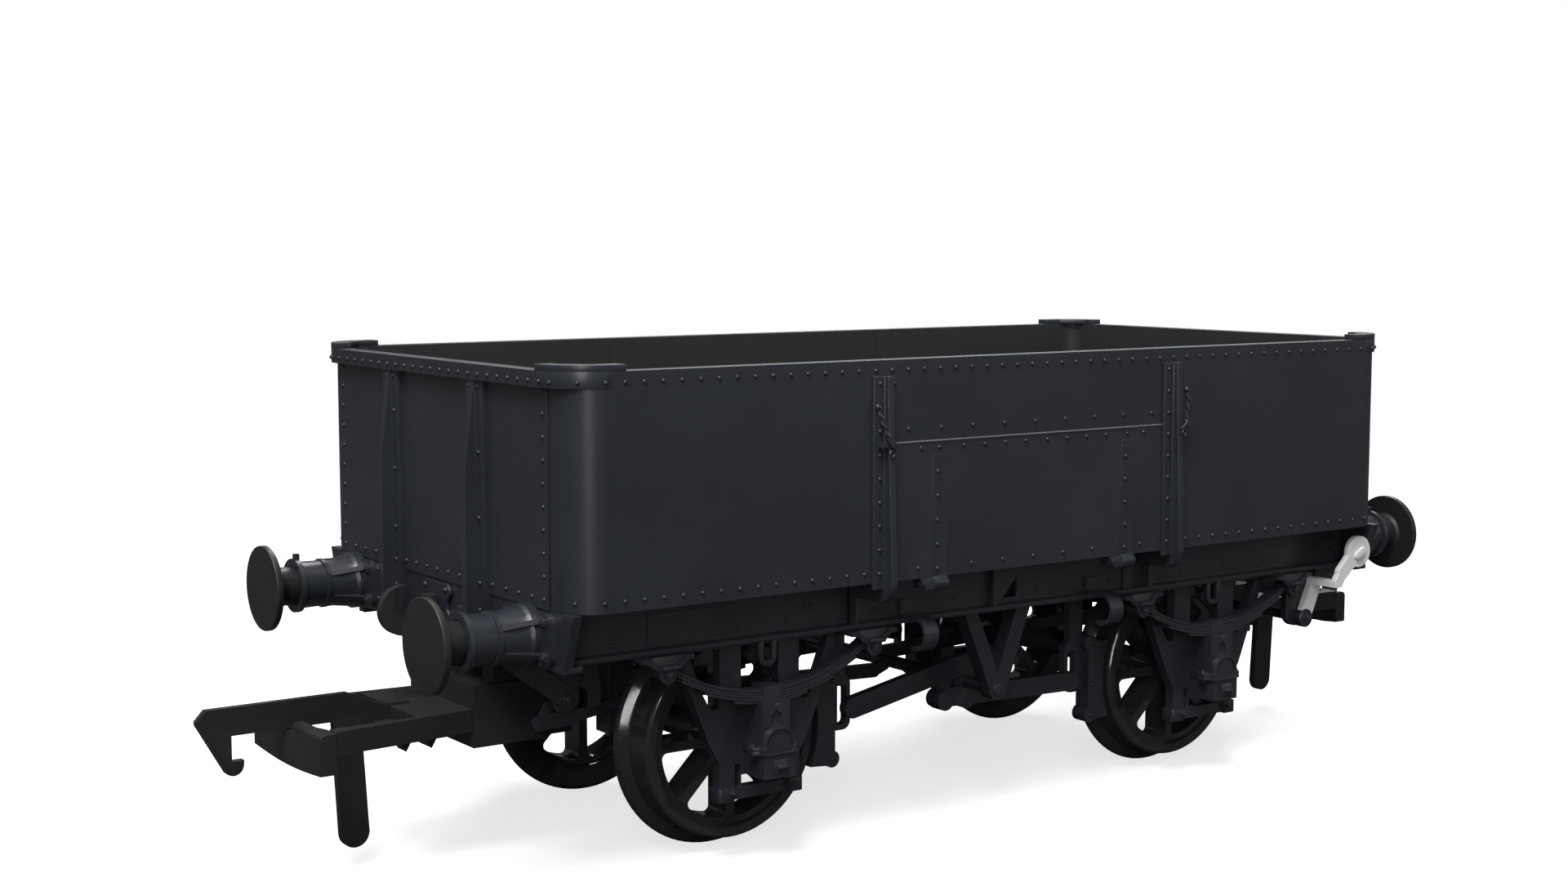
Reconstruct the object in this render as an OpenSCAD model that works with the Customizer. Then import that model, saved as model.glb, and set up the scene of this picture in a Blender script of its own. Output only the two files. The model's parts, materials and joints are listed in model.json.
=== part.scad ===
// Four-wheel open mineral wagon, 4 mm to the foot, with sprung buffers and lifting coupling hooks.
// The origin is at the middle of the wagon, level with the lowest point of the wheel flanges.
// +X runs along the wagon and +Z is up. The wagon repeats itself when turned half round about Z.

/* [Body] */
// Length of the tub over its end plates
body_length = 64.0; // [63.8:0.1:64.2]
// Width of the tub over its sides
body_width = 32.2; // [32.1:0.1:32.4]
// Height of the tub's lower edge
body_bottom = 16.2; // [16.2:0.05:16.3]
// Height of the rim's top face
rim_top = 29.05; // [28.9:0.05:29.3]
// Height of the hopper floor inside the tub
floor_top = 18.1; // [18.0:0.1:18.6]

/* [Wheels] */
// Distance between the two axles
wheelbase = 36.0; // [35.9:0.1:36.1]
// Radius of the wheel tread
tread_radius = 6.0; // [5.9:0.05:6.0]
// Radius of the wheel flange
flange_radius = 6.7; // [6.6:0.05:6.7]
// Distance between the backs of the two wheels of a pair
back_to_back = 14.5; // [14.4:0.05:14.6]

/* [Buffers] */
// Distance between the two buffer centre lines
buffer_spacing = 22.6; // [22.4:0.1:22.7]
// Radius of the buffer head
head_radius = 2.62; // [2.4:0.02:2.7]
// How far a buffer is pushed in
buffer_travel = 1.0; // [0.6:0.1:1.1]

/* [Couplings] */
// Distance from the wagon's middle to the coupling bar's front face
bar_reach = 41.5; // [41.3:0.1:41.6]
// Half the width of the coupling bar
bar_half_width = 4.85; // [4.6:0.05:5.0]
// Distance from the wagon's middle to the coupling hook's pivot
pivot_reach = 34.9; // [34.8:0.05:35.0]

/* [Hidden] */
$fn = 48;

eps = 0.01;
paint = [0.24, 0.27, 0.32];
black = [0.12, 0.12, 0.12];
steel = [0.55, 0.55, 0.56];
brass = [0.72, 0.58, 0.30];

// Tub
half_length = body_length / 2;
half_width = body_width / 2;
plate_proud = 0.1;
shell_half_length = half_length - plate_proud;
corner_radius = 2.43;
rim_proud = 0.6;
rim_half_length = shell_half_length + rim_proud;
rim_radius = 3.0;
rim_depth = 0.9;
rim_bottom = rim_top - rim_depth;
rim_thickness = 1.05;
inner_half_length = rim_half_length - rim_thickness;
inner_half_width = half_width - rim_thickness;
inner_radius = 1.35;
floor_bottom = floor_top - 0.6;
end_plate_half_width = 13.4;

// Corner caps
cap_thickness = 0.35;
cap_radius = rim_radius;
cap_end_reach = 13.0;
cap_side_reach = 28.7;

// Stanchions
end_post_y = 5.5;
side_post_x = 11.5;
post_half_width = 1.0;
post_web = 0.44;
side_flange_right = 0.6;
end_post_face = half_length + 0.3;
side_post_face = half_width + 0.2;
end_knee_z = 22.8;
foot_radius = 1.3;
foot_bottom = 15.0;
frame_bottom = 13.3;

// Doors
door_left = side_flange_right - side_post_x;
door_right = side_post_x - post_half_width;
door_top = 24.23;
door_proud = 0.06;
strap_x = 7.5;
strap_half_width = 0.53;
strap_proud = 0.11;
strap_top = 23.42;
hinge_y = half_width + 0.3;
hinge_z = 15.9;
hinge_radius = 0.42;
hinge_arm = 0.3;
hinge_barrel = 1.05;
hinge_offset = 0.85;

// Underframe
plate_bottom = 15.5;
solebar_outer = 12.9;
solebar_inner = 12.1;
solebar_flange = 13.7;
solebar_bottom = 13.1;
flange_thickness = 0.3;
headstock_web = 0.6;
headstock_face = shell_half_length;
headstock_back = headstock_face - headstock_web;
headstock_top_half = 15.8;
headstock_low_half = 14.75;
headstock_flange_back = headstock_face - 1.2;
headstock_flange_bottom = 12.95;
screw_x = 8.0;
screw_radius = 0.8;
screw_head_radius = 1.5;
ballast_half = [28.0, 11.4];
ballast_top = 17.4;

// Running gear
axle_x = wheelbase / 2;
axle_z = flange_radius;
wheel_inner = back_to_back / 2;
wheel_outer = wheel_inner + 2.7;
rim_inner_radius = 5.1;
window_radius = 4.75;
hub_radius = 1.35;
spoke_width = 0.6;
spoke_turn = 45;
axle_radius = 0.9;
journal_radius = 0.5;
journal_end = 13.05;
journal_start = 11.5;
cup_radius = 0.9;
cup_bore = 0.53;
cup_inner = 12.1;
cup_outer = 13.4;
iron_outer = 12.83;
keeper_half = 2.78;
keeper_bottom = 3.95;
keeper_top = 4.65;
split_z = 6.85;
cover_z = 7.3;
box_face = 14.5;
box_top = 9.81;
spring_inner = 13.0;
spring_outer = 14.0;
spring_bottom = 9.6;
leaf_pitch = 0.17;
leaf_gap = 0.04;
leaf_spans = [2.5, 4.35, 6.0, 7.1, 7.1];
spring_radius = 12.9;
spring_half_span = 7.1;
eye_z = 12.1;
eye_radius = 0.36;
eye_outer = 14.4;
shoe_nose = 0.52;

// Buffers
buffer_y = buffer_spacing / 2;
buffer_z = 14.66;
head_front = 38.34;
head_thickness = 0.4;
ram_radius = 1.19;
ram_bore = 1.24;
ram_inner_end = 35.2;
tail_radius = 0.45;
tail_bore = 0.5;
collar_radius = 0.7;
collar_end = headstock_back - 0.4;
buffer_flange_face = headstock_face + 0.4;
buffer_flange_half = [2.7, 1.45];
barrel_radius = 1.62;
barrel_front = 36.36;
coil_radius = 0.85;
coil_wire = 0.13;
coil_turns = 4;
coil_start = headstock_face + 0.2;
coil_length = 1.75;

// Couplings
shank_bottom = 7.8;
shank_top = 9.15;
shank_back = 31.6;
shank_step = 35.3;
shank_front = 36.4;
step_top = 8.4;
shank_back_half = 4.0;
arm_inner = 3.92;
bar_bottom = 6.76;
tail_slot_half = 0.4;
tail_slot_back = 33.9;
pivot_z = 8.4;
pivot_bore = 0.28;
pivot_pin = 0.25;
hook_half_thickness = 0.25;
tongue_half = 2.4;
tongue_back = 28.4;
mount_back = 27.2;
mount_half = 4.15;
mount_bottom = 6.9;
mount_top = 10.5;

// Brake gear
lever_x = 27.33;
lever_z = 9.72;
lever_shaft_radius = 0.35;
shaft_z = 7.93;
shaft_radius = 0.42;
v_front = 12.8;
v_back = 11.8;
rod_y = 9.5;
shoe_inner = 8.6;
shoe_outer = 9.8;
shoe_gap = 0.3;
shoe_thickness = 1.3;
shoe_angle = 24;
shoe_lobe_x = 10.6;
shoe_lobe_radius = 0.52;
shoe_lobes = [4.4, 9.24];
hanger_width = 0.58;
lever_inner = 12.95;
lever_outer = 13.4;
lever_far_outer = 15.6;
quadrant_inner = 6.35;
quadrant_outer = 6.85;

// Points along an arc, from one angle to another
function arc(cx, cz, r, from, to, steps = 12) =
    [for (i = [0 : steps]) let (t = from + (to - from) * i / steps) [cx + r * cos(t), cz + r * sin(t)]];

// The same thing again, turned half round about Z
module turned() {
    rotate([0, 0, 180])
        children();
}

module both_turns() {
    children();
    turned()
        children();
}

module block(x0, x1, y0, y1, z0, z1) {
    translate([x0, y0, z0])
        cube([x1 - x0, y1 - y0, z1 - z0]);
}

// An XZ outline given thickness on the near side, between two distances from the middle
module near_slab(y_in, y_out) {
    translate([0, -y_in, 0])
        rotate([90, 0, 0])
            linear_extrude(y_out - y_in)
                children();
}

// A YZ outline given thickness along X
module end_slab(x_in, x_out) {
    translate([x_in, 0, 0])
        rotate([90, 0, 90])
            linear_extrude(x_out - x_in)
                children();
}

module rod_along_x(x0, x1, y, z, r) {
    translate([x0, y, z])
        rotate([0, 90, 0])
            cylinder(h = x1 - x0, r = r);
}

module rod_along_y(x, y0, y1, z, r) {
    translate([x, y0, z])
        rotate([-90, 0, 0])
            cylinder(h = y1 - y0, r = r);
}

module rounded_plan(half_l, half_w, r) {
    square([2 * half_l, 2 * (half_w - r)], center = true);
    square([2 * (half_l - r), 2 * half_w], center = true);
    for (sx = [-1, 1], sy = [-1, 1])
        translate([sx * (half_l - r), sy * (half_w - r)])
            circle(r = r);
}

module rounded_prism(half_l, half_w, r, z0, z1) {
    translate([0, 0, z0])
        linear_extrude(z1 - z0)
            rounded_plan(half_l, half_w, r);
}

// ---- Tub ----

module tub_shell() {
    color(paint)
        difference() {
            rounded_prism(shell_half_length, half_width, corner_radius, body_bottom, rim_bottom);
            rounded_prism(inner_half_length, inner_half_width, inner_radius, floor_top, rim_top);
            block(-headstock_back, headstock_back, -solebar_inner, solebar_inner,
                body_bottom - eps, floor_bottom);
            for (x = [-screw_x, screw_x])
                translate([x, 0, floor_bottom - eps])
                    cylinder(h = 0.4 + eps, r = screw_radius);
        }
}

module top_rim() {
    color(paint)
        difference() {
            rounded_prism(rim_half_length, half_width, rim_radius, rim_bottom, rim_top);
            rounded_prism(inner_half_length, inner_half_width, inner_radius,
                rim_bottom - 1, rim_top + 1);
        }
}

// Outline of one corner cap, with a diagonal inner edge
module cap_plan() {
    diagonal = 1.4;
    polygon(concat(
        arc(rim_half_length - cap_radius, half_width - cap_radius, cap_radius, 0, 90),
        [
            [cap_side_reach, half_width],
            [cap_side_reach, inner_half_width],
            [inner_half_length - diagonal, inner_half_width],
            [inner_half_length, inner_half_width - diagonal],
            [inner_half_length, cap_end_reach],
            [rim_half_length, cap_end_reach]
        ]));
}

module corner_cap() {
    translate([0, 0, rim_top])
        linear_extrude(cap_thickness)
            cap_plan();
}

module corner_caps() {
    color(paint)
        both_turns() {
            corner_cap();
            mirror([0, 1, 0])
                corner_cap();
        }
}

module end_plate() {
    color(paint)
        block(shell_half_length, half_length, -end_plate_half_width, end_plate_half_width,
            body_bottom, rim_bottom);
}

// A T-section post on the end, tapering to the top above its knee
module end_post(y) {
    web_top = end_post_face + 0.1;
    web_knee = 33.03;
    block(half_length, end_post_face, y - post_half_width, y + post_half_width,
        body_bottom, rim_bottom);
    block(headstock_face, end_post_face, y - post_half_width, y + post_half_width,
        frame_bottom, body_bottom);
    translate([0, y + post_web / 2, 0])
        rotate([90, 0, 0])
            linear_extrude(post_web)
                polygon([
                    [end_post_face - eps, frame_bottom],
                    [web_knee, frame_bottom],
                    [web_knee, end_knee_z],
                    [web_top, rim_bottom],
                    [end_post_face - eps, rim_bottom]
                ]);
}

module end_stanchions() {
    color(paint)
        for (y = [-end_post_y, end_post_y])
            end_post(y);
}

// A T-section post on the near side, with a knee that turns in under the tub
module side_post(x) {
    web_top = side_post_face + 0.3;
    web_low = 17.05;
    flange_bottom = 15.85;
    knee = solebar_outer;
    translate([x, 0, 0]) {
        block(-post_half_width, side_flange_right, -side_post_face, -half_width,
            flange_bottom, rim_bottom);
        translate([-post_web / 2, 0, 0])
            mirror([0, 1, 0])
                end_slab(0, post_web)
                    polygon(concat(
                        [
                            [half_width, rim_bottom],
                            [half_width, body_bottom],
                            [solebar_flange, body_bottom],
                            [solebar_flange, body_bottom - flange_thickness],
                            [knee, body_bottom - flange_thickness],
                            [knee, foot_bottom]
                        ],
                        arc(web_low - foot_radius, foot_bottom + foot_radius, foot_radius, -90, 0),
                        [[web_top, rim_bottom]]));
    }
}

module side_stanchions() {
    color(paint)
        for (x = [-side_post_x, side_post_x])
            side_post(x);
}

// ---- Doors ----

module drop_door() {
    color(paint) {
        block(door_left, door_right, -half_width - door_proud, -half_width,
            body_bottom, door_top);
        for (x = [-strap_x, strap_x])
            block(x - strap_half_width, x + strap_half_width, -half_width - strap_proud,
                -half_width - door_proud + eps, body_bottom, strap_top);
    }
}

module door_hinge(x) {
    difference() {
        union() {
            translate([x, -hinge_y, hinge_z])
                rotate([0, 90, 0])
                    translate([0, 0, -hinge_offset])
                        cylinder(h = hinge_barrel, r = hinge_radius);
            block(x - 1.4, x - hinge_offset + eps, -hinge_y - hinge_arm, -hinge_y + 1.0,
                hinge_z - hinge_arm, hinge_z + hinge_arm);
            rod_along_x(x - 1.5, x + 0.35, -hinge_y, hinge_z, 0.2);
        }
        block(x - 2, x + 2, -hinge_y - 0.03, 0, body_bottom, body_bottom + 1);
    }
}

module door_hinges() {
    color(paint)
        both_turns()
            for (x = [-strap_x, strap_x])
                door_hinge(x);
}

// A flat bumper spring that runs out over the solebar's flange and curls down
module door_spring(x) {
    strip = 0.2;
    half = 0.53;
    curl_y = 14.45;
    curl_r = 1.05;
    base_z = solebar_bottom + flange_thickness;
    curl_z = base_z + strip - curl_r;
    translate([x - half, 0, 0])
        mirror([0, 1, 0])
            end_slab(0, 2 * half)
                polygon(concat(
                    [
                        [solebar_outer, base_z],
                        [solebar_outer, base_z + 1.0],
                        [solebar_outer + strip, base_z + 1.0],
                        [solebar_outer + strip, base_z + strip]
                    ],
                    arc(curl_y, curl_z, curl_r, 90, -110, 20),
                    arc(curl_y, curl_z, curl_r - strip, -110, 90, 20)));
}

module door_springs() {
    color(paint)
        both_turns()
            for (x = [-strap_x, strap_x])
                door_spring(x);
}

// ---- Underframe ----

module solebar() {
    slot = [[0.26, 13.7], [1.38, 14.84]];
    web_thickness = 0.25;
    color(paint)
        difference() {
            union() {
                block(-headstock_back, headstock_back, -solebar_outer, -solebar_inner,
                    solebar_bottom, body_bottom);
                for (z = [solebar_bottom, body_bottom - flange_thickness])
                    block(-headstock_back, headstock_back, -solebar_flange, -solebar_inner,
                        z, z + flange_thickness);
            }
            near_slab(solebar_inner - 1, solebar_outer + 1)
                translate(slot[0])
                    square(slot[1] - slot[0]);
            near_slab(solebar_inner - 1, solebar_outer - web_thickness)
                translate(slot[0])
                    square(slot[1] - slot[0] + [1.2, 0]);
            for (sx = [-1, 1])
                translate([sx * (headstock_flange_back + 1), -solebar_outer, solebar_bottom])
                    cube([2, 4, 2 * (frame_bottom - solebar_bottom)], center = true);
        }
}

module headstock() {
    color(paint)
        difference() {
            union() {
                end_slab(headstock_back, headstock_face)
                    polygon([
                        [-headstock_top_half, body_bottom],
                        [-headstock_low_half, frame_bottom],
                        [headstock_low_half, frame_bottom],
                        [headstock_top_half, body_bottom]
                    ]);
                block(headstock_flange_back, headstock_face, -headstock_low_half,
                    headstock_low_half, headstock_flange_bottom, frame_bottom);
            }
            for (sy = [-1, 1])
                rod_along_x(headstock_back - 1, headstock_face + 1, sy * buffer_y, buffer_z,
                    tail_bore);
        }
}

// Plate between the solebars, with a leg hanging down inside each wheel
module chassis_plate() {
    leg_x = [22.3, 24.0];
    leg_y = [4.36, 5.9];
    leg_bottom = 6.97;
    color(paint)
        difference() {
            union() {
                block(-headstock_back, headstock_back, -solebar_inner, solebar_inner,
                    plate_bottom, body_bottom);
                for (turn = [0, 180], flip = [0, 1])
                    rotate([0, 0, turn])
                        mirror([0, flip, 0])
                            block(leg_x[0], leg_x[1], leg_y[0], leg_y[1], leg_bottom,
                                plate_bottom + eps);
            }
            for (x = [-screw_x, screw_x])
                translate([x, 0, plate_bottom - 1])
                    cylinder(h = 3, r = screw_radius + 0.1);
        }
}

module ballast_weight() {
    color(steel)
        difference() {
            block(-ballast_half[0], ballast_half[0], -ballast_half[1], ballast_half[1],
                body_bottom, ballast_top);
            for (x = [-screw_x, screw_x])
                translate([x, 0, body_bottom - 1])
                    cylinder(h = 3, r = screw_radius + 0.2);
        }
}

module chassis_screw(x) {
    head = 0.8;
    slot_width = 0.3;
    translate([x, 0, 0])
        difference() {
            union() {
                translate([0, 0, plate_bottom - head])
                    cylinder(h = head, r = screw_head_radius);
                translate([0, 0, plate_bottom - eps])
                    cylinder(h = floor_bottom + 0.4 - plate_bottom, r = screw_radius);
            }
            for (turn = [0, 90])
                rotate([0, 0, turn])
                    translate([-1, -slot_width / 2, plate_bottom - head - eps])
                        cube([2, slot_width, 0.4]);
        }
}

module chassis_screws() {
    color(steel)
        for (x = [-screw_x, screw_x])
            chassis_screw(x);
}

// ---- Running gear ----

// Outline of one W-iron about its axle, without its windows
module w_iron_outline() {
    spread = 5.8;
    polygon([
        [-spread, solebar_bottom],
        [-3.4, 7.2],
        [-keeper_half, 6.2],
        [-keeper_half, keeper_bottom],
        [keeper_half, keeper_bottom],
        [keeper_half, 6.2],
        [3.4, 7.2],
        [spread, solebar_bottom]
    ]);
}

module w_iron_windows() {
    window_top = 12.8;
    for (sx = [-1, 1]) {
        polygon([
            [sx * 2.75, 9.5],
            [sx * 2.95, 9.35],
            [sx * 3.2, 9.35],
            [sx * 3.45, 9.5],
            [sx * 3.9, 10.3],
            [sx * 4.9, window_top],
            [sx * 2.75, window_top]
        ]);
        translate([sx * 1.55 - 0.2, keeper_top])
            square([0.4, 1.35]);
    }
    translate([-1.3, keeper_top])
        square([2.6, 0.7]);
    translate([-1.3, 9.9])
        square([2.6, window_top - 9.9]);
}

// Plan of the strap end that wraps round the foot of a W-iron
module keeper_wrap_plan() {
    inner = 1.9;
    outer = keeper_half + 0.17;
    face = iron_outer + 0.2;
    corner = 0.25;
    polygon(concat(
        [[inner, -cup_inner + 0.1], [inner, -face]],
        arc(outer - corner, -face + corner, corner, -90, 0, 6),
        [[outer, -cup_inner + 0.1]]));
}

module w_iron(x) {
    difference() {
        near_slab(cup_inner, iron_outer)
            translate([x, 0])
                difference() {
                    w_iron_outline();
                    w_iron_windows();
                }
        rod_along_y(x, -iron_outer - 1, -cup_inner + 1, axle_z, cup_radius);
    }
    translate([x, 0, keeper_bottom - 0.05])
        for (flip = [0, 1])
            mirror([flip, 0, 0])
                linear_extrude(keeper_top + 0.1 - keeper_bottom)
                    keeper_wrap_plan();
}

module w_irons() {
    color(paint)
        for (x = [-axle_x, axle_x])
            w_iron(x);
}

// Plan of the flange between the two halves of an axlebox, with an ear on each side
module axlebox_flange_plan(inset) {
    for (sx = [-1, 1])
        polygon([
            [0, -iron_outer],
            [0, -15.0 + inset],
            [sx * (1.15 - inset), -15.0 + inset],
            [sx * (1.25 - inset), -14.6],
            [sx * (1.6 - inset), -14.45],
            [sx * (1.6 - inset), -13.85],
            [sx * (1.2 - inset), -13.7],
            [sx * (1.2 - inset), -iron_outer]
        ]);
}

// Outline of the rounded cover on the front of an axlebox
module cover_plan(r) {
    intersection() {
        translate([0, cover_z])
            circle(r = r);
        translate([-r, split_z])
            square([2 * r, 2 * r]);
    }
}

module axlebox(x) {
    half = 0.95;
    plate_back = 14.15;
    cover_radius = 1.06;
    cover_face = 14.9;
    keep_bottom = 5.4;
    keep_face = 14.87;
    keep_half = 1.1;
    flange_step = 0.03;
    translate([x, 0, 0]) {
        difference() {
            union() {
                block(-half, half, -plate_back, -iron_outer, split_z, spring_bottom);
                block(-half, half, -box_face, -plate_back + eps, split_z, box_top);
                near_slab(box_face - eps, cover_face)
                    cover_plan(cover_radius);
                block(-keep_half, keep_half, -keep_face, -iron_outer, keep_bottom, split_z);
                block(-0.45, 0.45, -keep_face - 0.12, -keep_face + eps, 5.75, 6.5);
                rod_along_x(-0.3, 0.4, -keep_face - 0.15, 6.05, 0.16);
                for (row = [[-0.2, 0], [0.05 - flange_step, 0.06], [0.05, 0]])
                    translate([0, 0, split_z + 0.15 + row[0]])
                        linear_extrude(row[0] < 0 ? 0.2 + flange_step : 0.2)
                            axlebox_flange_plan(row[1]);
            }
            rod_along_y(0, -cup_outer, -iron_outer + 1, axle_z, cup_radius);
            near_slab(cover_face - 0.1, cover_face + 1)
                cover_plan(cover_radius - 0.13);
            rod_along_y(0, -box_face - 1, -plate_back + eps, box_top, 0.33);
            near_slab(box_face - 0.2, box_face + 1)
                polygon([
                    [-0.36, 8.34],
                    [0.36, 8.34],
                    [0.36, 9.0],
                    [0, 9.28],
                    [-0.36, 9.0]
                ]);
        }
        for (sx = [-1, 1])
            translate([sx * 1.38, -14.15, 6.6])
                cylinder(h = 0.85, r = 0.16, $fn = 6);
    }
}

module axleboxes() {
    color(paint)
        for (x = [-axle_x, axle_x])
            axlebox(x);
}

// One curved band of a spring between two heights above its lowest leaf's underside
module spring_band(low, high, half_span) {
    centre_z = spring_bottom + spring_radius;
    intersection() {
        difference() {
            translate([0, centre_z])
                circle(r = spring_radius - low, $fn = 180);
            translate([0, centre_z])
                circle(r = spring_radius - high, $fn = 180);
        }
        translate([-half_span, spring_bottom - 1])
            square([2 * half_span, 5]);
    }
}

// Separate leaves joined by a narrower core, with an eye at each end and a buckle
module leaf_spring(x) {
    core_inset = 0.12;
    buckle_half = 0.58;
    buckle_top = 10.62;
    near_slab(spring_inner, spring_outer)
        translate([x, 0])
            for (i = [0 : len(leaf_spans) - 1])
                spring_band(i * leaf_pitch, (i + 1) * leaf_pitch - leaf_gap, leaf_spans[i]);
    near_slab(spring_inner + core_inset, spring_outer - core_inset)
        translate([x, 0])
            for (i = [0 : len(leaf_spans) - 2])
                spring_band((i + 0.3) * leaf_pitch, (i + 1.3) * leaf_pitch,
                    leaf_spans[i] - core_inset);
    for (sx = [-1, 1])
        rod_along_y(x + sx * spring_half_span, -spring_outer, -spring_inner, eye_z, eye_radius);
    block(x - buckle_half, x + buckle_half, -spring_outer - 0.1, -iron_outer, spring_bottom,
        buckle_top);
}

module leaf_springs() {
    color(paint)
        for (x = [-axle_x, axle_x])
            leaf_spring(x);
}

// Outline of the shoe over a spring's eye: two ears that sweep down to a rounded nose
module shoe_outline() {
    half = 1.67;
    polygon([
        [-half, solebar_bottom],
        [-half, 12.85],
        [-1.2, 12.8],
        [-0.85, 12.45],
        [-shoe_nose, 12.3],
        [-shoe_nose, eye_z],
        [shoe_nose, eye_z],
        [shoe_nose, 12.3],
        [0.85, 12.45],
        [1.2, 12.8],
        [half, 12.85],
        [half, solebar_bottom]
    ]);
    translate([0, eye_z])
        circle(r = shoe_nose);
}

// Shoe that holds one end of a spring, with a rolled lip above the eye's bolt
module spring_shoe(x) {
    half = 1.67;
    back = eye_outer - 0.22;
    lip_z = 12.52;
    near_slab(spring_outer, back)
        translate([x, 0])
            shoe_outline();
    near_slab(back - eps, eye_outer)
        translate([x, 0])
            difference() {
                shoe_outline();
                polygon([
                    [-1.05, solebar_bottom + 1],
                    [-1.05, solebar_bottom - 0.12],
                    [-0.5, 12.66],
                    [0.5, 12.66],
                    [1.05, solebar_bottom - 0.12],
                    [1.05, solebar_bottom + 1]
                ]);
            }
    block(x - half, x + half, -spring_outer, -spring_inner, eye_z + 0.75, solebar_bottom);
    block(x - 0.55, x + 0.55, -eye_outer - 0.22, -eye_outer + eps, lip_z - 0.14, lip_z + 0.14);
    rod_along_x(x - 0.55, x + 0.55, -eye_outer - 0.22, lip_z, 0.14);
    rod_along_y(x, -eye_outer - 0.08, -eye_outer + eps, eye_z, 0.3);
    translate([x, -eye_outer - 0.07, eye_z])
        rotate([90, 0, 0])
            cylinder(h = 0.12, r = 0.2, $fn = 6);
}

// U-shaped stop under the solebar, over the middle of a spring
module spring_stop(x) {
    half = 0.62;
    slot = 0.3;
    low = 11.64;
    near_slab(13.35, 13.65)
        translate([x, 0])
            difference() {
                polygon(concat(
                    [[half, solebar_bottom]],
                    [[-half, solebar_bottom]],
                    arc(0, low + half, half, 180, 360, 12)));
                translate([-slot, low + 0.35])
                    square([2 * slot, 2]);
            }
}

module spring_shoes() {
    color(paint)
        both_turns()
            for (x = [-axle_x, axle_x]) {
                spring_shoe(x - spring_half_span);
                spring_shoe(x + spring_half_span);
                spring_stop(x);
            }
}

module bearing_cup(x) {
    difference() {
        rod_along_y(x, -cup_outer, -cup_inner, axle_z, cup_radius);
        rod_along_y(x, -cup_outer + 0.15, -cup_inner + 1, axle_z, cup_bore);
    }
}

module bearing_cups() {
    color(brass)
        both_turns()
            for (x = [-axle_x, axle_x])
                bearing_cup(x);
}

module axle() {
    shoulder = 11.0;
    color(steel)
        translate([axle_x, 0, axle_z])
            rotate([-90, 0, 0])
                rotate_extrude()
                    polygon([
                        [0, -journal_end],
                        [0.15, -journal_end],
                        [journal_radius, -journal_end + 0.35],
                        [journal_radius, -journal_start],
                        [axle_radius, -shoulder],
                        [axle_radius, shoulder],
                        [journal_radius, journal_start],
                        [journal_radius, journal_end - 0.35],
                        [0.15, journal_end],
                        [0, journal_end]
                    ]);
}

// Half section of the wheel's tyre, with distances out from the wagon's middle
module tyre_section() {
    root = wheel_inner + 0.85;
    polygon([
        [rim_inner_radius, wheel_inner],
        [flange_radius - 0.3, wheel_inner],
        [flange_radius, wheel_inner + 0.3],
        [flange_radius - 0.15, wheel_inner + 0.6],
        [tread_radius + 0.1, root],
        [tread_radius, root + 0.1],
        [tread_radius - 0.1, wheel_outer - 0.15],
        [tread_radius - 0.25, wheel_outer],
        [rim_inner_radius + 0.12, wheel_outer],
        [rim_inner_radius, wheel_outer - 0.3]
    ]);
}

// Opening between two spokes, with its middle line along +X and rounded outer corners
module spoke_window() {
    half_turn = spoke_turn / 2;
    half = spoke_width / 2;
    corner = 0.35;
    reach = window_radius - corner;
    across = half + corner;
    along = sqrt(reach * reach - across * across);
    corner_x = along * cos(half_turn) + across * sin(half_turn);
    corner_y = along * sin(half_turn) - across * cos(half_turn);
    swing = half_turn - asin(across / reach);
    polygon(concat(
        [[half / sin(half_turn), 0]],
        arc(corner_x, -corner_y, corner, -90 - half_turn, -swing, 5),
        [for (i = [-2 : 2]) [
            window_radius * cos(swing * i / 3),
            window_radius * sin(swing * i / 3)
        ]],
        arc(corner_x, corner_y, corner, swing, 90 + half_turn, 5)));
}

module near_wheel() {
    web_inner = wheel_inner + 0.5;
    web_outer = wheel_outer - 0.23;
    color(black)
        translate([axle_x, 0, axle_z])
            rotate([90, 0, 0])
                difference() {
                    union() {
                        rotate_extrude($fn = 96)
                            tyre_section();
                        translate([0, 0, wheel_inner])
                            cylinder(h = wheel_outer - wheel_inner, r = hub_radius);
                        translate([0, 0, web_inner])
                            linear_extrude(web_outer - web_inner)
                                difference() {
                                    circle(r = rim_inner_radius + 0.05);
                                    for (turn = [0 : spoke_turn : 315])
                                        rotate(turn + spoke_turn / 2)
                                            spoke_window();
                                }
                    }
                    translate([0, 0, wheel_inner - 1])
                        cylinder(h = 5, r = axle_radius);
                }
}

module far_wheel() {
    mirror([0, 1, 0])
        near_wheel();
}

// ---- Couplings ----

module coupling_box() {
    foot_top = 7.45;
    foot_bottom_z = 6.5;
    foot_back = 24.3;
    foot_half = 2.0;
    post = [28.3, 30.5, 2.6, 3.9];
    color(black)
        difference() {
            union() {
                block(mount_back, headstock_face, -mount_half, mount_half, mount_bottom,
                    mount_top);
                block(foot_back, mount_back + eps, -foot_half, foot_half, foot_bottom_z,
                    foot_top);
                for (sy = [-1, 1])
                    block(post[0], post[1], sy * 3.25 - 0.65, sy * 3.25 + 0.65,
                        mount_top - eps, plate_bottom);
            }
            block(tongue_back, headstock_face + 1, -tongue_half, tongue_half, shank_bottom,
                shank_top);
            rod_along_y(lever_x, -mount_half - 1, mount_half + 1, lever_z, lever_shaft_radius);
        }
}

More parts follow.
